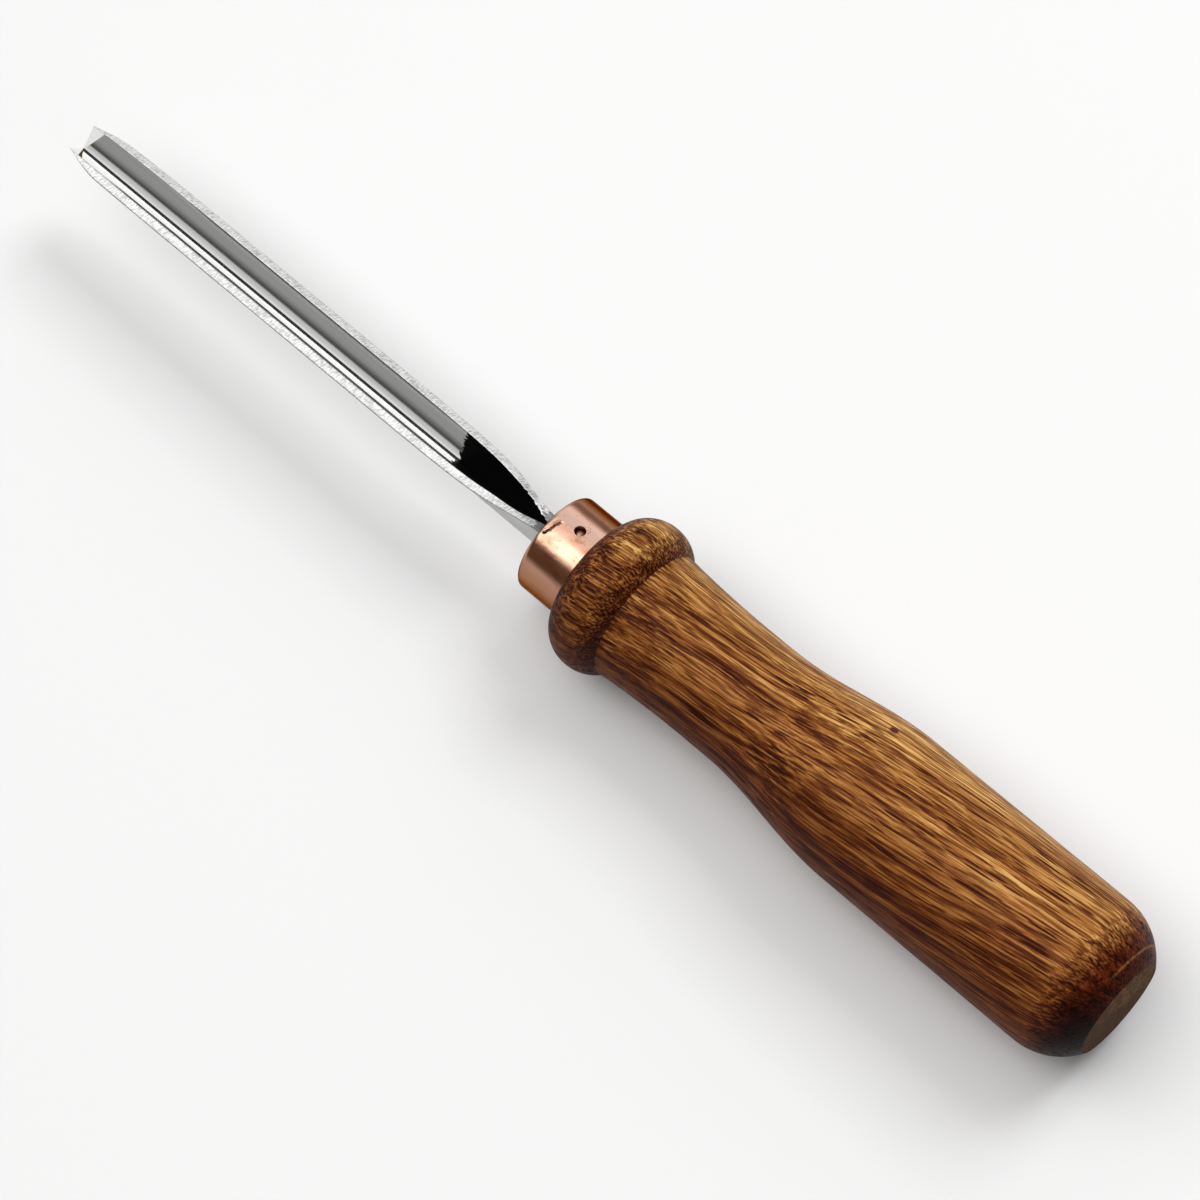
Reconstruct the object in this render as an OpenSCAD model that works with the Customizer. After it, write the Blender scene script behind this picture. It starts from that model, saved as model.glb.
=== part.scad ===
// Carving V-tool: a forged V blade with its tang in a turned hardwood handle, and a pinned copper ferrule.
// The tool lies along X with the cutting edge at +X and the V open upwards. The origin is under its middle.
// Sizes are in millimetres.

/* [Handle] */
// Length of the wood from the shoulder behind the ferrule to the butt
handle_length = 116.6; // [100:0.1:140]
// Diameter over the bead behind the ferrule
bead_d = 30; // [26:0.5:36]
// Length of the full bead, measured along the tool
bead_length = 12.7; // [10:0.1:16]
// Diameter at the sharp groove behind the bead
groove_d = 25; // [23:0.5:26]
// Diameter at the waist
waist_d = 23.2; // [20:0.2:24]
// Distance of the waist behind the shoulder
waist_at = 31.3; // [26:0.1:35]
// Distance behind the shoulder where the grip starts to swell
swell_start = 36; // [35.5:0.1:42]
// Distance behind the shoulder where the grip is full
swell_end = 64.6; // [60:0.1:72]
// Diameter of the grip
grip_d = 29.4; // [26:0.2:29.8]
// Length of the rounded butt
butt_length = 10; // [8:0.5:16]
// Diameter of the flat on the butt
butt_face_d = 18.5; // [14:0.5:22]

/* [Ferrule] */
// Outside diameter of the ferrule
ferrule_d = 19.2; // [17:0.2:22]
// Length of the ferrule
ferrule_length = 9.5; // [7:0.1:12]
// Wall of the ferrule
ferrule_wall = 1.2; // [1:0.1:1.6]
// Radius of its rounded front edge
ferrule_round = 0.9; // [0.3:0.1:1.1]

/* [Brad] */
// Diameter of the brad and of its hole
brad_d = 2; // [1.2:0.1:2.4]
// Length of the brad, point included
brad_length = 3.6; // [2.5:0.1:3.8]
// Depth of the brad's head below the ferrule's surface
brad_sink = 0.7; // [0.3:0.1:1]
// Distance of the brad behind the ferrule's front
brad_at = 5.6; // [3:0.1:6.5]
// Turn of the brad from the top, towards the right of the tool
brad_turn = 7; // [-20:1:20]

/* [Blade] */
// Length of the blade ahead of the ferrule
blade_reach = 117.6; // [90:0.1:140]
// Width over the V
v_width = 9.9; // [7:0.1:12]
// Angle between the inner faces of the V
v_angle = 60; // [50:1:75]
// Width of each ground lip along the top of the V
lip_width = 1.6; // [1:0.1:2]
// Height of the inner edge of the lips above the handle's centre line
lip_height = 5.9; // [5:0.1:6.5]
// Drop across each lip, from its inner to its outer edge
lip_fall = 0.5; // [0:0.1:0.8]
// Thickness of metal under the bottom of the V
keel_depth = 2.7; // [2:0.1:3]
// Length of the convex bevel behind the cutting edge
bevel_length = 9.4; // [5:0.2:14]
// Set-back of the horns behind the bottom of the cutting edge
horn_setback = 0.9; // [0:0.1:1.5]
// Drop of the lips at the horns
horn_drop = 0.6; // [0:0.1:1]
// Length over which the V narrows to the shank
neck_length = 36; // [28:0.5:44]
// Width of the shank where it enters the handle
shank_width = 4.2; // [3.6:0.1:5]
// Length of the tang inside the handle
tang_length = 62; // [50:1:75]

/* [Hidden] */
$fn = 96;

// Places along the tool
total_length = blade_reach + ferrule_length + handle_length;
tip_x = total_length / 2;
mouth_x = tip_x - blade_reach;
shoulder_x = mouth_x - ferrule_length;
axis_z = max(bead_d, grip_d) / 2;

// Handle outline, as radius and distance behind the shoulder
ferrule_r = ferrule_d / 2;
tenon_r = ferrule_r - ferrule_wall;
tenon_setback = 0.3;
tenon_length = ferrule_length - tenon_setback;
bead_half = bead_length / 2;
bead_rise = bead_d / 2 - ferrule_r;
bead_turn_end = 180 - asin((groove_d / 2 - ferrule_r) / bead_rise);
groove_at = bead_half * (1 - cos(bead_turn_end));
neck_fall = (groove_d - waist_d) / 2;
swell_rise = (grip_d - waist_d) / 2;
butt_start = handle_length - butt_length;
butt_turn_end = 55;
butt_rise = (grip_d - butt_face_d) / 2 / (1 - cos(butt_turn_end));
butt_reach = butt_length / sin(butt_turn_end);

// V section, as half widths and heights above the handle's centre line
v_slope = tan(v_angle / 2);
channel_half = v_width / 2 - lip_width;
apex_z = lip_height - channel_half / v_slope;
keel_z = apex_z - keel_depth;
keel_half = 0.35;
// Length ahead of the ferrule over which the lips rise
lip_rise_run = 14;
// Wall of the V in the neck, and where it has thinned to that and thickened to the lip's width
neck_wall = 1.25;
thin_at = 6.5;
thick_at = 13;
// The V spreads quickly for most of its width within a share of the neck, and slowly for the rest
quick_share = 0.85;
quick_length = 0.275;
// Shank section
shank_half = shank_width / 2;
shank_top = 4.5;
shank_bottom = -2.8;
slit_half = 0.2;
// Distances ahead of the ferrule between which the keel thickens into the shank
shank_from = 34;
shank_full = 14;
// The blade's solid runs a little way into the tang
shank_overlap = 3;
// Thickness left at the cutting edge, as a share of the full wall
edge_share = 0.04;
// Lengths behind the edge over which the lips drop and the edge leans
horn_run = 25;
lean_run = 12;
// Heights of the outer section's points, as shares of the height from keel to lip
side_share = 0.5;
low_share = 0.12;
// Flat under the shank, as a share of its width
shank_flat = 0.6;

// Tang: a four-sided taper, with a small step round the shank where it starts
tang_step = 0.2;
tang_start_x = mouth_x - tenon_setback;
tang_end_half = 1.2;

function ease(t) = (1 - cos(180 * min(1, max(0, t)))) / 2;
function mix(a, b, t) = a + (b - a) * t;
function mirrored(points) = [for (p = points) [p[0], -p[1], p[2]]];

// Drop of the lips towards the horns
function horn_fall(ahead) = horn_drop * pow(max(0, 1 - (blade_reach - ahead) / horn_run), 2);

// Share of the full width reached at a distance ahead of the ferrule
function spread(ahead) =
    let (share = max(0, ahead / neck_length))
    mix(ease(share), 1 - exp(-pow(share / quick_length, 2.07)), quick_share);

// Half width over the lips at a distance ahead of the ferrule
function lip_half(ahead) = mix(shank_half, v_width / 2, spread(ahead)) - horn_fall(ahead) * v_slope;

// Wall between the channel and the outside, measured across the tool
function wall_width(ahead) =
    let (neck = mix(neck_wall, lip_width, ease((ahead - thin_at) / (thick_at - thin_at))))
    mix(shank_half - slit_half, neck, ease(ahead / thin_at));

// Half width of the channel between the lips
function channel(ahead) = max(slit_half, lip_half(ahead) - wall_width(ahead));

// Height of the inner edge of the lips
function lip_z(ahead) = mix(shank_top, lip_height, ease(ahead / lip_rise_run)) - horn_fall(ahead);

// Share of the full wall left by the bevel
function wall_share(ahead) = max(edge_share, sin(90 * min(1, (blade_reach - ahead) / bevel_length)));

// Forward place of a point: the cutting edge leans back from the bottom of the V to the horns
function leaned_x(ahead, z) =
    mouth_x + ahead
    - horn_setback * max(0, 1 - (blade_reach - ahead) / lean_run) * (z - apex_z) / (lip_height - apex_z);

// One side of the section at a distance ahead of the ferrule, from the bottom of the V to the keel.
// The outer points are drawn towards the inner face by the bevel.
function half_section(ahead) =
    let (
        shank = ease((shank_from - ahead) / (shank_from - shank_full)),
        wall = wall_share(ahead),
        inner = [channel(ahead), lip_z(ahead)],
        apex = [0, inner[1] - inner[0] / v_slope],
        lip = [lip_half(ahead), inner[1] - lip_fall * ease(ahead / lip_rise_run)],
        keel = [mix(keel_half, shank_half * shank_flat, shank), mix(keel_z, shank_bottom, shank)],
        on_face = function (share) let (p = mix(keel, lip, share)) [mix(p[0], shank_half, shank), p[1]],
        outer = [lip, on_face(side_share), on_face(low_share), keel, [0, keel[1]]],
        near = [inner, mix(apex, inner, side_share), mix(apex, inner, low_share), apex, apex]
    )
    concat([apex, inner], [for (i = [0:len(outer) - 1]) mix(near[i], outer[i], wall)]);

// Closed ring of points round the blade: apex, left side, keel, right side
function ring(ahead) =
    let (
        half = half_section(ahead),
        left = [for (p = half) [leaned_x(ahead, p[1]), p[0], axis_z + p[1]]],
        right = mirrored([for (i = [len(left) - 2:-1:1]) left[i]])
    )
    concat(left, right);

// Distances ahead of the ferrule at which the blade's section is drawn, from the shank to the edge,
// closest where the neck curves most
neck_dense = 20;
blade_stations = concat(
    [-shank_overlap],
    [for (ahead = [0:1:neck_dense]) ahead],
    [for (ahead = [neck_dense + 2:2:neck_length + 4]) ahead],
    [for (ahead = [neck_length + 16:20:blade_reach - horn_run - 4]) ahead],
    [for (back = [horn_run:-3:bevel_length + 1]) blade_reach - back],
    [for (share = [1:-0.1:0]) blade_reach - bevel_length * share]
);

// Skin over rings of equal count, with a fan from the first point of each end ring
module skin(rings) {
    count = len(rings[0]);
    last = (len(rings) - 1) * count;
    sides = [
        for (r = [0:len(rings) - 2], i = [0:count - 1])
            let (a = r * count + i, b = r * count + (i + 1) % count)
                each [[a, b, a + count], [b, b + count, a + count]]
    ];
    caps = [for (i = [1:count - 2]) each [[0, i + 1, i], [last, last + i, last + i + 1]]];
    polyhedron(points = [for (r = rings) each r], faces = concat(sides, caps));
}

// Tapered tang, and the socket it fills
module tang() {
    tang_end_x = tang_start_x - tang_length;
    intersection() {
        translate([0, 0, axis_z + shank_bottom - tang_step])
            linear_extrude(shank_top - shank_bottom + 2 * tang_step)
                polygon([
                    [tang_start_x, shank_half + tang_step],
                    [tang_start_x, -shank_half - tang_step],
                    [tang_end_x, -tang_end_half],
                    [tang_end_x, tang_end_half]
                ]);
        translate([0, shank_width, axis_z])
            rotate([90, 0, 0])
                linear_extrude(2 * shank_width)
                    polygon([
                        [tang_start_x, shank_top + tang_step],
                        [tang_start_x, shank_bottom - tang_step],
                        [tang_end_x, -tang_end_half],
                        [tang_end_x, tang_end_half]
                    ]);
    }
}

// Places a shape drawn about Z on the brad's line, with Z pointing out of the tool
module on_brad_line() {
    translate([mouth_x - brad_at, 0, axis_z]) rotate([brad_turn, 0, 0]) children();
}

module blade() {
    color("silver") {
        skin([for (ahead = blade_stations) ring(ahead)]);
        tang();
    }
}

module ferrule() {
    front_round = [
        for (a = [0:10:90]) [
            ferrule_r - ferrule_round * (1 - cos(a)),
            ferrule_length - ferrule_round * (1 - sin(a))
        ]
    ];
    outline = concat([[tenon_r, 0], [ferrule_r, 0]], front_round, [[tenon_r, ferrule_length]]);
    color([0.80, 0.52, 0.42])
        difference() {
            translate([shoulder_x, 0, axis_z]) rotate([0, 90, 0]) rotate_extrude() polygon(outline);
            on_brad_line() cylinder(h = ferrule_d, d = brad_d);
        }
}

module ferrule_brad() {
    brad_top = ferrule_r - brad_sink;
    brad_point = 1.2;
    color([0.25, 0.24, 0.23])
        on_brad_line()
            rotate_extrude()
                polygon([
                    [0, brad_top - brad_length],
                    [brad_d / 2, brad_top - brad_length + brad_point],
                    [brad_d / 2, brad_top],
                    [0, brad_top]
                ]);
}

module handle() {
    bead = [
        for (t = [0:1 / 24:1])
            let (a = bead_turn_end * t)
                [ferrule_r + bead_rise * sin(a), bead_half * (1 - cos(a))]
    ];
    neck = [
        for (t = [1 / 8:1 / 8:1])
            [waist_d / 2 + neck_fall * pow(1 - t, 2), mix(groove_at, waist_at, t)]
    ];
    swell = [
        for (t = [0:1 / 16:1])
            [waist_d / 2 + swell_rise * ease(t), mix(swell_start, swell_end, t)]
    ];
    butt = [
        for (t = [0:1 / 16:1])
            let (a = butt_turn_end * t)
                [grip_d / 2 - butt_rise * (1 - cos(a)), butt_start + butt_reach * sin(a)]
    ];
    tenon = [[0, -tenon_length], [tenon_r, -tenon_length], [tenon_r, 0]];
    outline = concat(tenon, bead, neck, swell, butt, [[0, handle_length]]);
    color([0.62, 0.42, 0.24])
        difference() {
            translate([shoulder_x, 0, axis_z]) rotate([0, -90, 0]) rotate_extrude() polygon(outline);
            tang();
            ferrule_brad();
        }
}

blade();
ferrule();
ferrule_brad();
handle();
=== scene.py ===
import math

import bmesh
import bpy
from mathutils import Matrix, Vector


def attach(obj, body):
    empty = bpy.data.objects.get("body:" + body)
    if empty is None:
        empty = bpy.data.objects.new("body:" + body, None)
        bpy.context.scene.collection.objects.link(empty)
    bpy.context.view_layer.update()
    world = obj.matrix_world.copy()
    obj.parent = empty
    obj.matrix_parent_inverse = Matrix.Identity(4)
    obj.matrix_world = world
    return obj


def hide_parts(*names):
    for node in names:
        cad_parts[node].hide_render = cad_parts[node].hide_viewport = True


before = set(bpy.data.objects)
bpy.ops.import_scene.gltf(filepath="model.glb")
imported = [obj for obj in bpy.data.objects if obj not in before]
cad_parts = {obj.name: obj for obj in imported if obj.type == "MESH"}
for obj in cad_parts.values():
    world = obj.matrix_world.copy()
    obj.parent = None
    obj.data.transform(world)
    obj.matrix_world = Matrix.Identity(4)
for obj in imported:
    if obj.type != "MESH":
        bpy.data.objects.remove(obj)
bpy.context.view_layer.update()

# Blade
# One bar of tool steel forged to a V, with ground lips, a polished inside and black scale at the neck.
# Behind the neck it is drawn out to a square tang, which is driven into the handle. Lengths are in mm.
axis_rise = 15.0
mouth = 4.25
blade_reach = 117.6
tang_length = 62.0
shank_half = 2.1
shank_top, shank_bottom = 4.5, -2.8
tang_start, tang_ledge, tang_tip = -0.3, 0.2, 1.2
keel_half, keel_z = 0.35, -2.6
v_half = 4.95
v_slope = math.tan(math.radians(30))
lip_width, lip_height, lip_fall = 1.6, 5.9, 0.5
neck_length, lip_rise_run = 36.0, 14.0
shank_end, shank_fade = 34.0, 20.0
wall_run = 6.5
horn_run = 25.0
bevel_length = 9.4
edge_share = 0.04
horn_setback, horn_drop = 0.9, 0.6
v_depth = (v_half - lip_width) / v_slope


def ease(t):
    """A soft start and end between 0 and 1."""
    return (1 - math.cos(math.pi * min(1, max(0, t)))) / 2


def between(a, b, t):
    return a + (b - a) * t


def horn_fall(ahead):
    """Fall of the lips towards the two horns of the cutting edge."""
    return horn_drop * max(0, 1 - (blade_reach - ahead) / horn_run) ** 2


def lip_half(ahead):
    """Half of the width over the lips, which spread quickly out of the neck."""
    share = max(0, ahead / neck_length)
    spread = between(ease(share), 1 - math.exp(-(share / 0.275) ** 2.07), 0.85)
    return between(shank_half, v_half, spread) - horn_fall(ahead) * v_slope


def channel_half(ahead):
    """Half of the width of the V between the lips."""
    full_wall = between(1.25, lip_width, ease(ahead / wall_run - 1))
    wall = between(shank_half - 0.2, full_wall, ease(ahead / wall_run))
    return max(0.2, lip_half(ahead) - wall)


def lip_z(ahead):
    """Height of the inner edges of the lips."""
    return between(shank_top, lip_height, ease(ahead / lip_rise_run)) - horn_fall(ahead)


def v_fall(share):
    """Fall of the V's inner face below the lip at a share of its half width, slightly hollow low down."""
    return (1 - share - 0.134 * max(0, 0.6 - share) ** 2) / v_slope


def blade_half(ahead):
    """Half of the bar's section as (y, z): bottom of the V, inner face, lip, flank and keel."""
    shares = 0, 0.08, 0.16, 0.26, 0.36, 0.48, 0.6, 1
    if ahead < tang_start:
        back = (tang_start - ahead) / tang_length
        side = between(shank_half + tang_ledge, tang_tip, back)
        top = between(shank_top + tang_ledge, tang_tip, back)
        bottom = between(shank_bottom - tang_ledge, -tang_tip, back)
        flank = [(side, between(bottom, top, share)) for share in (0.5, 0.12)]
        face = [(side / 2 * share, top) for share in shares]
        return [*face, (side, top), *flank, (side * 0.96, bottom), (0, bottom)]
    shank = ease((shank_end - ahead) / shank_fade)
    width, height = channel_half(ahead), lip_z(ahead)
    face = [(width * share, height - width * v_fall(share)) for share in shares]
    lip = lip_half(ahead), height - lip_fall * ease(ahead / lip_rise_run)
    keel = between(keel_half, shank_half * 0.6, shank), between(keel_z, shank_bottom, shank)
    flank = [
        (between(between(keel[0], lip[0], share), shank_half, shank), between(keel[1], lip[1], share))
        for share in (0.5, 0.12)
    ]
    return [*face, lip, *flank, keel, (0, keel[1])]


stations = [tang_start - tang_length, -30, tang_start - 0.01, tang_start]
stations += [0.375 * count for count in range(33)] + [12.75 + 0.75 * count for count in range(32)]
stations += [40, 48, 58, 70, 80]
stations += [blade_reach - back for back in (30, 26, 22, 19, 16, 13, 11)]
stations += [blade_reach - bevel_length * share / 12 for share in range(12, -1, -1)]

bar = bmesh.new()
spot = bar.verts.layers.int.new("spot")
first = [bar.verts.new((mouth + stations[0], y, z)) for y, z in blade_half(stations[0])]
for number, vert in enumerate(first):
    vert[spot] = number
line = [bar.edges.new(pair) for pair in zip(first, first[1:])]
for ahead in stations[1:]:
    grown = bmesh.ops.extrude_edge_only(bar, edges=line)["geom"]
    line = [part for part in grown if isinstance(part, bmesh.types.BMEdge)]
    section = blade_half(ahead)
    for vert in (part for part in grown if isinstance(part, bmesh.types.BMVert)):
        vert.co = mouth + ahead, *section[vert[spot]]
for face in bar.faces:
    lowest = min(vert[spot] for vert in face.verts)
    face.material_index = 0 if lowest < 7 else 1 if lowest == 7 else 2  # inside, lip, outside
half = bar.verts[:] + bar.edges[:] + bar.faces[:]
bmesh.ops.mirror(bar, geom=half, matrix=Matrix(), merge_dist=0.001, axis="Y")
bmesh.ops.holes_fill(bar, edges=[edge for edge in bar.edges if edge.is_boundary], sides=0)


def long_edges(number):
    """The edges along the bar, ahead of the tang, at one place of its section."""
    return [
        edge for edge in bar.edges
        if all(vert[spot] == number for vert in edge.verts)
        and abs(edge.verts[0].co.x - edge.verts[1].co.x) > 0.01
        and max(vert.co.x for vert in edge.verts) > mouth - 0.2
    ]


lip_inner, lip_outer, keel_middle = 7, 8, 11
for number, width in ((lip_inner, 0.1), (lip_outer, 0.32), (keel_middle, 0.25)):
    bmesh.ops.bevel(bar, geom=long_edges(number), offset=width, offset_type="OFFSET", affect="EDGES",
                    segments=4, profile=0.5, material=-1, clamp_overlap=True)

# The file has left the right lip's inner edge ragged near the ferrule
ragged_from, ragged_to = 1.5, 9.0
for vert in bar.verts:
    ahead = vert.co.x - mouth
    if ragged_from < ahead < ragged_to and vert.co.y < 0 and vert.co.z > lip_z(ahead) - 0.4:
        if abs(abs(vert.co.y) - channel_half(ahead)) < 0.3:
            vert.co.y += 0.09 * math.sin(6.1 * ahead) + 0.07 * math.sin(13.3 * ahead + 1)

# The outside is ground away at the front to meet the inside in the cutting edge, which leans back
lean_run = 12.0
for vert in bar.verts:
    ahead, y, z = vert.co.x - mouth, abs(vert.co.y), vert.co.z
    left = blade_reach - ahead
    if left < lean_run:
        height, width = lip_z(ahead), channel_half(ahead)
        if left < bevel_length and z < height - width * v_fall(min(1, y / width)) - 0.02:
            up = min(1, max(0, (z - keel_z) / (height - lip_fall - keel_z)))
            share = max(edge_share, math.sin(math.pi / 2 * left / bevel_length))
            vert.co.y = math.copysign(between(up * width, y, share), vert.co.y)
            vert.co.z = between(height - width * v_fall(up), z, share)
        lean = horn_setback * (1 - left / lean_run)
        vert.co.x -= lean * (vert.co.z - lip_height + v_depth) / v_depth


def cut_away(piece, cutter):
    """Takes a closed shape, drawn like the piece in mm about the tool's axis, out of a piece."""
    tool = make_piece(cutter, "cutter", [])
    cut = piece.modifiers.new("cut", "BOOLEAN")
    cut.object, cut.operation, cut.solver = tool, "DIFFERENCE", "EXACT"
    whole = piece.data
    result = piece.evaluated_get(bpy.context.evaluated_depsgraph_get())
    piece.data = bpy.data.meshes.new_from_object(result)
    piece.modifiers.clear()
    piece.data.name = piece.name
    for mesh in (whole, tool.data):
        bpy.data.meshes.remove(mesh)


def make_piece(shape, name, finishes, sharp=30, cutters=()):
    """Turns a shape drawn in mm about the tool's axis into a piece in metres."""
    bmesh.ops.remove_doubles(shape, verts=shape.verts, dist=0.0005)
    bmesh.ops.recalc_face_normals(shape, faces=shape.faces)
    bmesh.ops.translate(shape, verts=shape.verts, vec=(0, 0, axis_rise))
    bmesh.ops.scale(shape, verts=shape.verts, vec=(0.001, 0.001, 0.001))
    mesh = bpy.data.meshes.new(name)
    shape.to_mesh(mesh)
    shape.free()
    for finish in finishes:
        mesh.materials.append(finish)
    piece = bpy.data.objects.new(name, mesh)
    bpy.context.scene.collection.objects.link(piece)
    for cutter in cutters:
        cut_away(piece, cutter)
    piece.data.shade_smooth()
    piece.data.set_sharp_from_angle(angle=math.radians(sharp))
    return piece


def tint(red, green, blue):
    """A colour as the eye reads it, 0 to 255, as the linear value that a socket takes."""
    parts = [part / 255 for part in (red, green, blue)]
    return (*(((p + 0.055) / 1.055) ** 2.4 if p > 0.04 else p / 12.92 for p in parts), 1)


def add(tree, kind, inputs=None, **settings):
    """A node with its settings, and its inputs set to values or linked to sockets."""
    node = tree.nodes.new("ShaderNode" + kind)
    for name, value in settings.items():
        setattr(node, name, value)
    for socket, value in (inputs or {}).items():
        if isinstance(value, bpy.types.NodeSocket):
            tree.links.new(value, node.inputs[socket])
        else:
            node.inputs[socket].default_value = value
    return node


def sums(tree, operation, *values):
    """One Math node by the name of its operation."""
    return add(tree, "Math", dict(enumerate(values)), operation=operation).outputs[0]


def times(tree, one, two):
    return sums(tree, "MULTIPLY", one, two)


def plus(tree, one, two):
    return sums(tree, "ADD", one, two)


def minus(tree, one, two):
    return sums(tree, "SUBTRACT", one, two)


def larger(tree, one, two):
    return sums(tree, "MAXIMUM", one, two)


def step(tree, value, low, high):
    """0 below low and 1 above high, or the other way round where low is the larger."""
    if low < high:
        inputs = {"Value": value, "From Min": low, "From Max": high, "To Min": 0.0, "To Max": 1.0}
    else:
        inputs = {"Value": value, "From Min": high, "From Max": low, "To Min": 1.0, "To Max": 0.0}
    return add(tree, "MapRange", inputs, interpolation_type="SMOOTHSTEP").outputs["Result"]


def span(tree, value, low, high):
    """A 0 to 1 mask as a value between low and high."""
    return add(tree, "MapRange", {"Value": value, "To Min": low, "To Max": high}).outputs["Result"]


def blend(tree, mask, one, two, how="MIX"):
    """One colour where the mask is 0, and the other laid over it where it is 1."""
    node = add(tree, "Mix", data_type="RGBA", blend_type=how)
    for socket, value in ((0, mask), (6, one), (7, two)):
        if isinstance(value, bpy.types.NodeSocket):
            tree.links.new(value, node.inputs[socket])
        else:
            node.inputs[socket].default_value = value
    return node.outputs[2]


def ramp(tree, value, stops):
    """Colours at places from 0 to 1."""
    node = add(tree, "ValToRGB", {"Fac": value})
    while len(node.color_ramp.elements) < len(stops):
        node.color_ramp.elements.new(0.5)
    for element, (place, colour) in zip(node.color_ramp.elements, stops):
        element.position, element.color = place, colour
    return node.outputs["Color"]


def vectors(tree, operation, *values):
    """One Vector Math node by the name of its operation."""
    return add(tree, "VectorMath", dict(enumerate(values)), operation=operation).outputs


def scaled(tree, vector, factors):
    return vectors(tree, "MULTIPLY", vector, factors)["Vector"]


def noise(tree, vector, factors, detail=2.0, roughness=0.5, output="Fac"):
    """Noise with its own count per mm along each direction."""
    return add(tree, "TexNoise", {
        "Vector": scaled(tree, vector, factors), "Scale": 1.0, "Detail": detail, "Roughness": roughness,
    }).outputs[output]


def new_group(name, inputs, outputs):
    """An effect that finishes share, with what it is given and what it gives."""
    group = bpy.data.node_groups.new(name, "ShaderNodeTree")
    for socket, kind, value in inputs:
        made = group.interface.new_socket(socket, in_out="INPUT", socket_type="NodeSocket" + kind)
        if value is not None:
            made.default_value = value
    for socket, kind in outputs:
        group.interface.new_socket(socket, in_out="OUTPUT", socket_type="NodeSocket" + kind)
    return group, group.nodes.new("NodeGroupInput").outputs, group.nodes.new("NodeGroupOutput").inputs


def use(tree, group, inputs):
    """A shared effect placed in a finish with its own values."""
    node = add(tree, "Group", node_tree=group)
    for socket, value in inputs.items():
        if isinstance(value, bpy.types.NodeSocket):
            tree.links.new(value, node.inputs[socket])
        else:
            node.inputs[socket].default_value = value
    return node.outputs


def new_finish(name):
    """A material, its node tree, its shader, and the place on the tool in mm about its axis."""
    finish = bpy.data.materials.new(name)
    finish.use_nodes = True
    tree = finish.node_tree
    place = add(tree, "Mapping", {
        "Vector": add(tree, "TexCoord").outputs["Object"],
        "Location": (0, 0, -axis_rise),
        "Scale": (1000, 1000, 1000),
    }).outputs["Vector"]
    return finish, tree, tree.nodes["Principled BSDF"], place


def bumps(tree, shader, height, strength, distance):
    bump = add(tree, "Bump", {"Height": height, "Strength": strength, "Distance": distance})
    tree.links.new(bump.outputs["Normal"], shader.inputs["Normal"])


# Fine lines left by a wheel or by polishing: noise drawn out along one direction
grinding_lines, given, gives = new_group(
    "grinding_lines",
    [("Place", "Vector", None), ("Lines Per Mm", "Vector", (1, 1, 1)), ("Detail", "Float", 2.0)],
    [("Lines", "Float")],
)
tree = grinding_lines
lines = noise(tree, given["Place"], given["Lines Per Mm"], given["Detail"], 0.6)
tree.links.new(lines, gives["Lines"])

# Black scale from the forge behind a ragged front, which the grinding has not reached
forge_scale, given, gives = new_group(
    "forge_scale",
    [("Place", "Vector", None), ("Front", "Float", 28.0), ("Slant", "Float", 0.45),
     ("Rag", "Float", 3.0)],
    [("Scale", "Float")],
)
tree = forge_scale
at = add(tree, "SeparateXYZ", {"Vector": given["Place"]}).outputs
teeth = noise(tree, given["Place"], (0.45, 1.6, 1.6), 5.0, 0.7)
edge = times(tree, minus(tree, teeth, 0.5), given["Rag"])
past = plus(tree, plus(tree, at["X"], edge), times(tree, at["Y"], given["Slant"]))
tree.links.new(step(tree, minus(tree, past, given["Front"]), 0.12, -0.12), gives["Scale"])

polished_steel, tree, shader, place = new_finish("polished_steel")
lines = use(tree, grinding_lines, {"Place": place, "Lines Per Mm": (0.05, 8, 8), "Detail": 3.0})["Lines"]
scale = use(tree, forge_scale, {"Place": place, "Front": 27.0, "Slant": 0.2, "Rag": 3.5})["Scale"]
at = add(tree, "SeparateXYZ", {"Vector": place}).outputs
# Painted shade along the bottom of the V, and a painted dark reflection under the left lip that runs out
# towards the edge
painted_crease_shade = step(tree, sums(tree, "ABSOLUTE", at["Y"]), 0.2, 0.1)
share = sums(tree, "DIVIDE", at["Y"], v_half - lip_width)
dark_reflection_low = add(tree, "MapRange", {
    "Value": at["X"], "From Min": 94.0, "From Max": 112.0, "To Min": 0.745, "To Max": 0.86,
}).outputs["Result"]
painted_dark_reflection = step(tree, minus(tree, share, dark_reflection_low), -0.1, 0.04)
painted_dark_reflection = times(tree, painted_dark_reflection, step(tree, share, 0.985, 0.95))
painted_dark_reflection = times(tree, painted_dark_reflection, step(tree, at["X"], 115.0, 106.0))
shine = ramp(tree, lines, [(0.3, (0.79, 0.79, 0.78, 1)), (0.7, (0.87, 0.87, 0.86, 1))])
# The real forge scale, the painted shade and the painted dark reflection are all dark and not metallic
scale_and_painted_shade = larger(tree, larger(tree, painted_dark_reflection, painted_crease_shade), scale)
colour = blend(tree, scale_and_painted_shade, shine, (0.03, 0.03, 0.03, 1))
colour = blend(tree, scale, colour, (0.002, 0.002, 0.002, 1))
tree.links.new(colour, shader.inputs["Base Color"])
tree.links.new(span(tree, scale_and_painted_shade, 1.0, 0.0), shader.inputs["Metallic"])
gloss = plus(tree, span(tree, lines, 0.02, 0.07), span(tree, scale_and_painted_shade, 0.0, 0.5))
tree.links.new(gloss, shader.inputs["Roughness"])
shader.inputs["Specular IOR Level"].default_value = 0.04
bumps(tree, shader, lines, 0.03, 0.00002)

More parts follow.
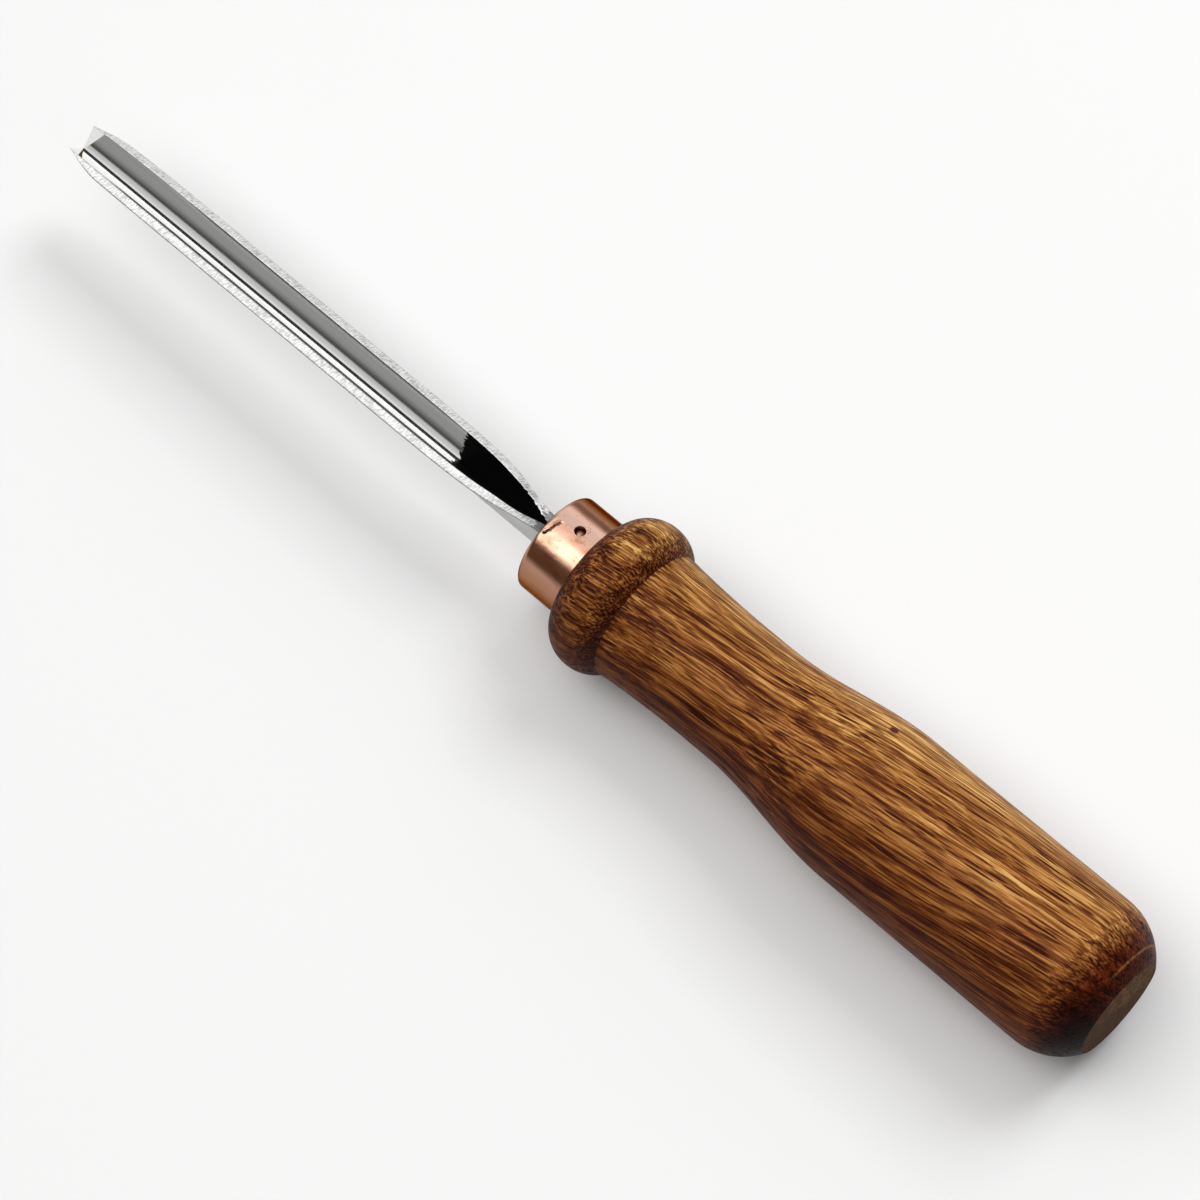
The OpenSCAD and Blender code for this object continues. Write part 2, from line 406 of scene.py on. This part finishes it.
ground_lip, tree, shader, place = new_finish("ground_lip")
slanted = add(tree, "Mapping", {"Vector": place, "Rotation": (0, 0, 0.45)}).outputs["Vector"]
lines = use(tree, grinding_lines, {
    "Place": slanted, "Lines Per Mm": (5.0, 1.1, 1.1), "Detail": 5.0})["Lines"]
scale = use(tree, forge_scale, {"Place": place, "Front": 7.5, "Slant": 0.0, "Rag": 9.0})["Scale"]
patches = noise(tree, place, (0.22, 0.9, 0.9), 4.0, 0.65)
at = add(tree, "SeparateXYZ", {"Vector": place}).outputs
ground = plus(tree, times(tree, lines, 0.8), times(tree, patches, 0.2))
# Painted shade: the left lip is painted darker than the right
ground = plus(tree, ground, span(tree, step(tree, at["Y"], -1.0, 1.0), 0.03, -0.13))
shine = ramp(tree, ground, [
    (0.3, (0.26, 0.26, 0.26, 1)), (0.4, (0.42, 0.42, 0.41, 1)),
    (0.5, (0.63, 0.63, 0.62, 1)), (0.6, (0.88, 0.88, 0.87, 1))])
shine = blend(tree, times(tree, scale, 0.75), shine, (0.06, 0.06, 0.06, 1))
tree.links.new(shine, shader.inputs["Base Color"])
shader.inputs["Metallic"].default_value = 1.0
tree.links.new(span(tree, lines, 0.22, 0.5), shader.inputs["Roughness"])
bumps(tree, shader, lines, 0.3, 0.00004)

satin_steel, tree, shader, place = new_finish("satin_steel")
lines = use(tree, grinding_lines, {"Place": place, "Lines Per Mm": (0.35, 5, 5), "Detail": 3.0})["Lines"]
shine = ramp(tree, lines, [(0.3, (0.38, 0.38, 0.37, 1)), (0.7, (0.58, 0.58, 0.57, 1))])
tree.links.new(shine, shader.inputs["Base Color"])
shader.inputs["Metallic"].default_value = 1.0
tree.links.new(span(tree, lines, 0.24, 0.44), shader.inputs["Roughness"])
bumps(tree, shader, lines, 0.2, 0.00003)

v_blade = make_piece(bar, "v_blade", [polished_steel, ground_lip, satin_steel], 10)
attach(v_blade, "root")
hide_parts("blade")

# Handle
# One piece of open-pored hardwood, turned and oiled, with a tenon for the ferrule, a bead that stops it,
# a groove, a waist, and a rounded butt sawn flat. End grain at the bead and the butt drinks more oil.
shoulder = mouth - 9.5
tenon_r, tenon_front = 8.4, 9.2
bead_base, bead_rise, bead_half = 9.6, 5.4, 6.35
groove_r, waist_r, waist_at = 12.5, 11.6, 31.3
swell_start, swell_end, grip_r = 36.0, 64.6, 14.7
butt_start, butt_face_r, handle_length = 106.6, 9.25, 116.6

bead_turn = math.pi - math.asin((groove_r - bead_base) / bead_rise)
groove_at = bead_half * (1 - math.cos(bead_turn))
butt_turn = math.radians(55)
butt_fall = (grip_r - butt_face_r) / (1 - math.cos(butt_turn))
butt_run = (handle_length - butt_start) / math.sin(butt_turn)

turning = [(-tenon_front, 0.0), (-tenon_front, tenon_r), (0.0, tenon_r), (0.0, bead_base)]
turning += [
    (bead_half * (1 - math.cos(a)), bead_base + bead_rise * math.sin(a))
    for a in (bead_turn * part / 40 for part in range(1, 41))
]
turning += [
    (between(groove_at, waist_at, t), waist_r + (groove_r - waist_r) * (1 - t) ** 2)
    for t in (part / 12 for part in range(1, 13))
]
turning += [
    (between(swell_start, swell_end, t), waist_r + (grip_r - waist_r) * ease(t))
    for t in (part / 20 for part in range(21))
]
turning += [(between(swell_end, butt_start, t), grip_r) for t in (0.25, 0.5, 0.75)]
turning += [
    (butt_start + butt_run * math.sin(a), grip_r - butt_fall * (1 - math.cos(a)))
    for a in (butt_turn * part / 24 for part in range(25))
]
turning += [(handle_length, 0.0)]

blank = bmesh.new()
outline = [blank.verts.new((shoulder - back, 0, r)) for back, r in turning]
edges = [blank.edges.new(pair) for pair in zip(outline, outline[1:])]
bmesh.ops.spin(blank, geom=outline + edges, cent=(0, 0, 0), axis=(1, 0, 0), angle=2 * math.pi,
               steps=192, use_merge=True)
bmesh.ops.remove_doubles(blank, verts=blank.verts, dist=0.001)
end_x = shoulder - handle_length
for face in blank.faces:
    face.material_index = int(all(vert.co.x < end_x + 0.01 for vert in face.verts))

# The socket is burned out by the tang, so it has the tang's own taper
socket_slack = 0.01
tip_half, root_half = tang_tip + socket_slack, tang_ledge + socket_slack
socket = bmesh.new()
bmesh.ops.create_cube(socket, size=2.0)
for vert in socket.verts:
    if vert.co.x < 0:
        x = mouth + tang_start - tang_length - socket_slack
        side, top, bottom = tip_half, tip_half, -tip_half
    else:
        x = mouth
        side, top, bottom = shank_half + root_half, shank_top + root_half, shank_bottom - root_half
    vert.co = x, vert.co.y * side, top if vert.co.z > 0 else bottom

brad_x, brad_turn, brad_r = mouth - 5.6, math.radians(7), 1.0
brad_head, brad_length, brad_point = 8.9, 3.6, 1.2


def on_brad_line(shape):
    """Turns a shape that stands on the axis on to the brad's own line."""
    bmesh.ops.rotate(shape, verts=shape.verts, cent=(0, 0, 0), matrix=Matrix.Rotation(brad_turn, 3, "X"))
    bmesh.ops.translate(shape, verts=shape.verts, vec=(brad_x, 0, 0))


def spun_up(profile, turns):
    """A shape turned about Z from (radius, height) places."""
    shape = bmesh.new()
    outline = [shape.verts.new((r, 0, z)) for r, z in profile]
    edges = [shape.edges.new(pair) for pair in zip(outline, outline[1:])]
    bmesh.ops.spin(shape, geom=outline + edges, cent=(0, 0, 0), axis=(0, 0, 1), angle=2 * math.pi,
                   steps=turns, use_merge=True)
    bmesh.ops.remove_doubles(shape, verts=shape.verts, dist=0.001)
    return shape


brad_hole = spun_up([
    (0, brad_head - brad_length - 0.02), (brad_r, brad_head - brad_length + brad_point),
    (brad_r, 9.5), (0, 9.5),
], 24)
on_brad_line(brad_hole)

oiled_grain, given, gives = new_group(
    "oiled_grain",
    [("Place", "Vector", None)],
    [("Colour", "Color"), ("Pores", "Float"), ("Fibres", "Float")],
)
tree = oiled_grain
# The grain winds slowly round the blank and mostly follows the swell of the grip
at = add(tree, "SeparateXYZ", {"Vector": given["Place"]}).outputs
turn_per_mm, drawn_share = 0.0095, 0.85
swelling = step(tree, at["X"], shoulder - swell_start, shoulder - swell_end)
drawn_in = span(tree, swelling, 1.0, drawn_share)
draw = add(tree, "CombineXYZ", {"X": 1.0, "Y": drawn_in, "Z": drawn_in}).outputs["Vector"]
wound = add(tree, "VectorRotate", {
    "Vector": scaled(tree, given["Place"], draw), "Angle": times(tree, at["X"], turn_per_mm),
}, rotation_type="X_AXIS").outputs["Vector"]


def drift(tree, vector, factors, amount):
    """Lines that wander sideways by an amount in mm."""
    wave = noise(tree, vector, factors, 1.0, 0.5, "Color")
    wave = vectors(tree, "SUBTRACT", wave, (0.5, 0.5, 0.5))["Vector"]
    return vectors(tree, "ADD", vector, scaled(tree, wave, (0.0, amount, amount)))["Vector"]


grain = drift(tree, wound, (0.014, 0.05, 0.05), 3.0)
grain = drift(tree, grain, (0.05, 0.16, 0.16), 0.7)


def dashes(tree, vector, factors, wide, narrow, kept):
    """Cut vessels: long cells along the grain, of which a share is kept."""
    cells = add(tree, "TexVoronoi", {
        "Vector": scaled(tree, vector, factors), "Scale": 1.0, "Randomness": 1.0}).outputs
    chance = add(tree, "SeparateColor", {"Color": cells["Color"]}).outputs["Red"]
    inside = step(tree, cells["Distance"], wide, narrow)
    return times(tree, inside, step(tree, chance, kept + 0.05, kept))


# Growth rings lie in shells about a heart well below the blank
rings_per_mm = 0.4
shell = add(tree, "Mapping", {"Vector": grain, "Location": (0, -13.6, 35.5)}).outputs["Vector"]
from_heart = vectors(tree, "LENGTH", scaled(tree, shell, (0, 1, 1)))["Value"]
year = sums(tree, "FRACT", times(tree, from_heart, rings_per_mm))
early = times(tree, step(tree, year, 0.0, 0.1), step(tree, year, 0.75, 0.3))

fine = step(tree, noise(tree, grain, (0.08, 2.9, 2.9), 4.0, 0.68), 0.36, 0.64)
bands = step(tree, noise(tree, grain, (0.014, 0.75, 0.75), 2.0, 0.55), 0.32, 0.68)
broad = step(tree, noise(tree, grain, (0.01, 0.13, 0.13), 1.0, 0.5), 0.3, 0.7)
tone = plus(tree, times(tree, fine, 0.56), times(tree, bands, 0.17))
tone = plus(tree, tone, span(tree, broad, 0.1, 0.24))
tone = minus(tree, tone, times(tree, early, 0.12))
body = ramp(tree, tone, [
    (0.1, tint(66, 27, 9)), (0.3, tint(98, 50, 18)), (0.45, tint(124, 70, 29)),
    (0.6, tint(148, 92, 42)), (0.85, tint(188, 132, 72))])
# Paler on the upper right of the blank, most at the neck: partly sapwood, partly painted light on the
# side the light falls on
outwards = vectors(tree, "NORMALIZE", scaled(tree, given["Place"], (0, 1, 1)))["Vector"]
side = vectors(tree, "DOT_PRODUCT", outwards, (0.0, -0.75, 0.66))["Value"]
side = plus(tree, side, span(tree, bands, -0.2, 0.2))
near_neck = step(tree, at["X"], -62.0, -34.0)
sap_and_painted_light = step(tree, plus(tree, side, span(tree, near_neck, 0.0, 0.06)), 0.5, 1.15)
body = blend(tree, sap_and_painted_light, body, (1.44, 1.9, 2.3, 1), "MULTIPLY")
# Painted shade: the lower left of the blank, away from the light, is painted darker
painted_shade_side = step(tree, side, 0.5, -0.6)
body = blend(tree, painted_shade_side, body, tint(172, 144, 108), "MULTIPLY")
long_pores = dashes(tree, grain, (0.1, 1.8, 1.8), 0.37, 0.27, 0.68)
short_pores = dashes(tree, grain, (0.17, 2.6, 2.6), 0.4, 0.28, 0.6)
pores = larger(tree, long_pores, times(tree, short_pores, 0.9))
pores = times(tree, pores, span(tree, early, 0.6, 1.0))
body = blend(tree, times(tree, pores, 0.97), body, tint(52, 15, 6))
tree.links.new(body, gives["Colour"])
tree.links.new(pores, gives["Pores"])
tree.links.new(fine, gives["Fibres"])


def stain(tree, place, middle, reach, ragged):
    """A stain with a ragged edge about a place, longer along the grain than across it."""
    offset = vectors(tree, "SUBTRACT", place, middle)["Vector"]
    far = vectors(tree, "LENGTH", vectors(tree, "DIVIDE", offset, reach)["Vector"])["Value"]
    return step(tree, plus(tree, far, times(tree, minus(tree, ragged, 0.5), 3.6)), 1.2, 0.5)


turned_wood, tree, shader, place = new_finish("turned_wood")
grain = use(tree, oiled_grain, {"Place": place})
facing = add(tree, "SeparateXYZ", {"Vector": add(tree, "TexCoord").outputs["Normal"]}).outputs["X"]
end_on = step(tree, sums(tree, "ABSOLUTE", facing), 0.1, 0.8)
along = add(tree, "SeparateXYZ", {"Vector": place}).outputs["X"]
at_butt = step(tree, along, end_x + 9.0, end_x + 3.0)
on_bead = step(tree, along, shoulder - 13.0, shoulder - 12.0)
lower_left = vectors(tree, "DOT_PRODUCT", place, (0.0, 0.8, -0.5))["Value"]
colour = blend(tree, times(tree, end_on, 0.8), grain["Colour"], tint(150, 96, 72), "MULTIPLY")
on_bead = times(tree, on_bead, span(tree, grain["Fibres"], 1.0, 0.1))
colour = blend(tree, on_bead, colour, tint(196, 180, 166), "MULTIPLY")
colour = blend(tree, times(tree, at_butt, 0.9), colour, tint(154, 94, 74), "MULTIPLY")
# The butt is darker still on its lower left: end grain there, and painted shade
butt_grain_and_painted_shade = step(tree, along, end_x + 7.0, end_x + 2.0)
butt_grain_and_painted_shade = times(tree, butt_grain_and_painted_shade, step(tree, lower_left, -4.0, 4.0))
colour = blend(tree, butt_grain_and_painted_shade, colour, tint(150, 84, 76), "MULTIPLY")
# A painted highlight: one bright line round the upper right of the butt, 2 mm from its end
painted_highlight_line = step(tree, sums(tree, "ABSOLUTE", minus(tree, along, end_x + 2.0)), 0.22, 0.08)
painted_highlight_line = times(tree, painted_highlight_line, step(tree, lower_left, -4.0, -8.0))
painted_highlight_line = times(tree, painted_highlight_line, span(tree, grain["Fibres"], 0.2, 0.7))
colour = blend(tree, painted_highlight_line, colour, tint(150, 104, 62))
# Two mineral streaks on the left of the grip, and a pin knot on its right
ragged = noise(tree, place, (0.11, 1.7, 1.7), 4.0, 0.65)
streaked = larger(
    tree, stain(tree, place, (-39, 9.8, 6.2), (4.5, 2.2, 2.2), ragged),
    stain(tree, place, (-55.5, 8.7, 9.8), (8.0, 2.4, 2.4), ragged))
streaked = times(tree, streaked, span(tree, grain["Fibres"], 1.0, 0.25))
colour = blend(tree, streaked, colour, tint(150, 112, 96), "MULTIPLY")
knot = vectors(tree, "DISTANCE", place, (-65.6, -8.5, 11.8))["Value"]
colour = blend(tree, step(tree, knot, 1.15, 0.5), colour, tint(78, 32, 18))
tree.links.new(colour, shader.inputs["Base Color"])
tree.links.new(span(tree, grain["Pores"], 0.45, 0.75), shader.inputs["Roughness"])
shader.inputs["Specular IOR Level"].default_value = 0.06
height = minus(tree, times(tree, grain["Fibres"], 0.4), grain["Pores"])
bumps(tree, shader, height, 0.3, 0.0001)

sawn_end, tree, shader, place = new_finish("sawn_end")
grain = use(tree, oiled_grain, {"Place": place})
colour = blend(tree, 0.6, grain["Colour"], tint(88, 70, 50))
teeth = noise(tree, place, (1.0, 0.5, 5.0), 3.0, 0.6)
colour = blend(tree, span(tree, teeth, 0.2, 0.7), colour, tint(52, 40, 28))
tree.links.new(colour, shader.inputs["Base Color"])
shader.inputs["Roughness"].default_value = 0.85
shader.inputs["Specular IOR Level"].default_value = 0.06
bumps(tree, shader, minus(tree, teeth, grain["Pores"]), 0.4, 0.0001)

turned_handle = make_piece(blank, "turned_handle", [turned_wood, sawn_end], 24, [socket, brad_hole])
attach(turned_handle, "root")
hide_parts("handle")

# Ferrule
# A ring of drawn copper tube, driven over the tenon against the bead so that the wood can't split. Its
# front edge is rolled over, with one small tear behind it, and a hole near the top takes the brad.
ferrule_r, ferrule_wall, ferrule_round = 9.6, 1.2, 0.9

tube = bmesh.new()
rim = [(shoulder, ferrule_r - ferrule_wall), (shoulder, ferrule_r - 0.12), (shoulder + 0.12, ferrule_r)]
rim += [
    (between(shoulder + 0.12, mouth - ferrule_round, part / 20), ferrule_r) for part in range(1, 20)
]
rim += [
    (mouth - ferrule_round * (1 - math.sin(a)), ferrule_r - ferrule_round * (1 - math.cos(a)))
    for a in (math.pi / 2 * part / 8 for part in range(9))
]
rim += [(mouth, ferrule_r - ferrule_wall)]
outline = [tube.verts.new((x, 0, r)) for x, r in rim]
edges = [tube.edges.new(pair) for pair in zip(outline, outline[1:] + outline[:1])]
bmesh.ops.spin(tube, geom=outline + edges, cent=(0, 0, 0), axis=(1, 0, 0), angle=2 * math.pi,
               steps=192, use_merge=True)
bmesh.ops.remove_doubles(tube, verts=tube.verts, dist=0.001)


def round_from_top(point):
    """Distance round the ferrule from its top towards the left, in mm."""
    return math.atan2(point.y, point.z) * ferrule_r


# The tear slants forward from the top towards the left, and its front lip stands a little proud
tear_from, tear_to = -0.5, 3.4
tear_back, tear_front = 2.2, 3.1
torn = [
    face for face in tube.faces
    if 1.4 < face.calc_center_median().x < mouth - 0.3 and face.calc_center_median().yz.length > 9.0
    and tear_from - 0.7 < round_from_top(face.calc_center_median()) < tear_to + 0.8
]
torn_edges = list({edge for face in torn for edge in face.edges})
bmesh.ops.subdivide_edges(tube, edges=torn_edges, cuts=5, use_grid_fill=True)
for vert in tube.verts:
    along = round_from_top(vert.co)
    if vert.co.yz.length > 8.9 and vert.co.x > 1.2 and tear_from < along < tear_to:
        crack = between(tear_back, tear_front, along / 3.1)
        crack += 0.08 * math.sin(along * 2.3) + 0.025 * math.sin(along * 8 + 1)
        off = vert.co.x - crack
        ends = min(1, (along - tear_from) / 0.5, (tear_to - along) / 0.3)
        gape = 0.19 + 0.04 * math.sin(along * 4.1)
        sink = 0.18 * math.exp(-(off / gape) ** 2) - 0.08 * math.exp(-((off - 0.4) / 0.2) ** 2)
        sink += 0.2 * math.exp(-((off - 0.1) / 0.25) ** 2 - ((along - 3.0) / 0.25) ** 2)
        vert.co.yz *= 1 - sink * ends / vert.co.yz.length

# The hole's edge is slightly dished by the punch
punched = spun_up([
    (0, 5.0), (brad_r, 5.0), (brad_r, 9.42), (brad_r + 0.03, 9.53), (brad_r + 0.1, 9.61),
    (brad_r + 0.12, 10.5), (0, 10.5),
], 48)
on_brad_line(punched)

bright_copper, tree, shader, place = new_finish("bright_copper")
lines = use(tree, grinding_lines, {
    "Place": place, "Lines Per Mm": (0.18, 1.6, 1.6), "Detail": 4.0})["Lines"]
stains = noise(tree, place, (0.22, 0.3, 0.3), 4.0, 0.6)
hole = (brad_x, -math.sin(brad_turn) * ferrule_r, math.cos(brad_turn) * ferrule_r)
from_hole = vectors(tree, "DISTANCE", place, hole)["Value"]
pits = add(tree, "TexVoronoi", {"Vector": place, "Scale": 2.6, "Randomness": 1.0})
pit_chance = add(tree, "SeparateColor", {"Color": pits.outputs["Color"]}).outputs["Red"]
at = add(tree, "SeparateXYZ", {"Vector": place}).outputs
near_hole = step(tree, from_hole, 2.9, 1.6)
near_hole = times(tree, near_hole, step(tree, at["X"], brad_x + 1.0, brad_x - 0.4))
often = plus(tree, times(tree, near_hole, 0.5), times(tree, step(tree, stains, 0.5, 0.35), 0.1))
pitted = step(tree, pits.outputs["Distance"], 0.34, 0.16)
pitted = times(tree, pitted, step(tree, minus(tree, pit_chance, often), 0.04, 0.0))
colour = ramp(tree, stains, [
    (0.3, (0.38, 0.17, 0.1, 1)), (0.45, (0.6, 0.33, 0.23, 1)), (0.7, (0.74, 0.46, 0.35, 1))])
# A paler band runs along the ferrule just right of the hole, open to the right: a painted sheen, and the
# copper is rougher there
painted_sheen_band = times(tree, step(tree, at["Y"], 0.2, -1.6), step(tree, at["Y"], -4.4, -2.8))
colour = blend(tree, painted_sheen_band, colour, (0.88, 0.57, 0.46, 1))
# Painted shade: the copper is painted darker brown on its lower left and along its right side, darkest at
# the far right
painted_shade_brown = step(tree, minus(tree, at["Y"], at["Z"]), -2.0, 5.0)
painted_shade_brown = plus(tree, painted_shade_brown, step(tree, at["Y"], -3.2, -5.4))
painted_shade_brown = times(tree, painted_shade_brown, span(tree, stains, 0.6, 1.0))
colour = blend(tree, painted_shade_brown, colour, (0.34, 0.155, 0.09, 1))
colour = blend(tree, step(tree, at["Y"], -5.6, -8.0), colour, (0.16, 0.075, 0.04, 1))
front_edge = step(tree, at["X"], mouth - 0.5, mouth - 0.1)
colour = blend(tree, times(tree, front_edge, 0.7), colour, (0.2, 0.08, 0.05, 1))
colour = blend(tree, times(tree, pitted, 0.85), colour, tint(84, 38, 22))
from_axis = vectors(tree, "LENGTH", scaled(tree, place, (0.0, 1.0, 1.0)))["Value"]
sunk = step(tree, from_axis, ferrule_r - 0.05, ferrule_r - 0.16)
sunk = times(tree, sunk, step(tree, at["X"], mouth - 0.6, mouth - 0.9))
colour = blend(tree, times(tree, sunk, 0.85), colour, tint(96, 40, 22))
tree.links.new(colour, shader.inputs["Base Color"])
shader.inputs["Metallic"].default_value = 1.0
shader.inputs["Specular Tint"].default_value = (0.4, 0.27, 0.21, 1)
gloss = plus(tree, span(tree, lines, 0.1, 0.26), span(tree, larger(tree, painted_sheen_band, sunk), 0.0, 0.22))
tree.links.new(gloss, shader.inputs["Roughness"])
bumps(tree, shader, minus(tree, times(tree, lines, 0.35), pitted), 0.3, 0.00008)

copper_ferrule = make_piece(tube, "copper_ferrule", [bright_copper], 40, [punched])
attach(copper_ferrule, "root")
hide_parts("ferrule")

# Brad
# A small nail driven through the ferrule into the tenon and set below the surface with a punch. Its
# domed head is painted copper-brown, a painted reflection of the copper round it.
nail = spun_up([
    (0.0, brad_head), (0.3, brad_head - 0.03), (0.6, brad_head - 0.13), (0.85, brad_head - 0.3),
    (brad_r - 0.02, brad_head - 0.5), (brad_r - 0.02, brad_head - brad_length + brad_point),
    (0.0, brad_head - brad_length),
], 32)
on_brad_line(nail)

dull_steel, tree, shader, place = new_finish("dull_steel")
spots = noise(tree, place, (2.5, 2.5, 2.5), 4.0, 0.6)
# Painted reflection: the steel is coloured the brown of the copper round it
colour = ramp(tree, spots, [(0.35, (0.3, 0.15, 0.09, 1)), (0.6, (0.56, 0.32, 0.23, 1))])
tree.links.new(colour, shader.inputs["Base Color"])
shader.inputs["Metallic"].default_value = 1.0
tree.links.new(span(tree, spots, 0.25, 0.5), shader.inputs["Roughness"])

sunk_brad = make_piece(nail, "sunk_brad", [dull_steel], 40)
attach(sunk_brad, "root")
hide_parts("ferrule_brad")

# Floor, light and camera
# A pale floor that sweeps up into a low backdrop far out, under a broad soft light that leans to the
# left, with a softer wall of light and a soft key on the right, and the camera above the handle.
floor_r, sweep_r = 7.0, 1.0
sheet = spun_up([(0, 0)] + [
    (floor_r + sweep_r * math.sin(a), sweep_r * (1 - math.cos(a)))
    for a in (math.pi / 2 * part / 16 for part in range(17))
], 96)
bmesh.ops.recalc_face_normals(sheet, faces=sheet.faces)
floor_mesh = bpy.data.meshes.new("floor")
sheet.to_mesh(floor_mesh)
sheet.free()
floor_mesh.shade_smooth()
pale_floor = bpy.data.materials.new("pale_floor")
pale_floor.use_nodes = True
shader = pale_floor.node_tree.nodes["Principled BSDF"]
shader.inputs["Base Color"].default_value = (0.78, 0.78, 0.78, 1)
shader.inputs["Roughness"].default_value = 0.8
shader.inputs["Specular IOR Level"].default_value = 0.1
floor_mesh.materials.append(pale_floor)
floor = bpy.data.objects.new("floor", floor_mesh)
bpy.context.scene.collection.objects.link(floor)

key = bpy.data.lights.new("key_box", "AREA")
key.shape = "RECTANGLE"
key.size, key.size_y = 1.1, 1.1
key.energy = 27.0
key_object = bpy.data.objects.new("key_box", key)
toward_key = Vector((-0.25, -1.55, 1.95))
key_object.location = toward_key
key_object.rotation_euler = toward_key.to_track_quat("Z", "Y").to_euler()
key_object.visible_glossy = False
bpy.context.scene.collection.objects.link(key_object)

# The light round the studio, by its turn from overhead to the right (0) and left (1), and along the tool
world = bpy.data.worlds.new("studio")
bpy.context.scene.world = world
world.use_nodes = True
tree = world.node_tree
brightest = 3.0
toward = add(tree, "SeparateXYZ", {"Vector": add(tree, "TexCoord").outputs["Generated"]}).outputs
turn = add(tree, "MapRange", {
    "Value": sums(tree, "ARCTAN2", toward["Y"], toward["Z"]),
    "From Min": -math.pi / 2, "From Max": math.pi / 2})
round_tool = ramp(tree, turn.outputs["Result"], [
    (degrees / 180 + 0.5, (*[level / brightest] * 3, 1)) for degrees, level in (
        (-90, 0.35), (-74, 0.35), (-62, 1.3), (-48, 1.3), (-45, 0.42), (-39.4, 0.36), (-35, 0.09),
        (-33.1, 0.08), (-32.3, 0.66), (-28.5, 0.8), (-25.5, 1.2), (-10, 1.4), (0, 1.6),
        (8, brightest), (34, brightest), (40, 0.8))
] + [(0.744, (0.04, 0.024, 0.012, 1)), (1.0, (0.04, 0.026, 0.014, 1))])
ahead = add(tree, "MapRange", {"Value": toward["X"], "From Min": -1.0, "From Max": 1.0})
along_tool = ramp(tree, ahead.outputs["Result"], [
    (place, (share, share, share, 1)) for place, share in (
        (0.0, 0.12), (0.275, 0.15), (0.425, 0.6), (0.525, 1.0), (0.8, 1.0), (0.925, 0.6), (1.0, 0.5))])
light_colour = blend(tree, 1.0, round_tool, along_tool, "MULTIPLY")
tree.links.new(light_colour, tree.nodes["Background"].inputs["Color"])
tree.nodes["Background"].inputs["Strength"].default_value = brightest

camera = bpy.data.cameras.new("photo_camera")
camera.lens = 125.92
camera.sensor_width = 36
camera.clip_start = 0.01
camera_object = bpy.data.objects.new("photo_camera", camera)
camera_object.location = -0.241219, 0.209288, 0.6583
camera_object.rotation_euler = [math.radians(turn) for turn in (25.65627, 2.42452, -136.68962)]
bpy.context.scene.collection.objects.link(camera_object)
bpy.context.scene.camera = camera_object
bpy.context.scene.view_settings.view_transform = "Standard"
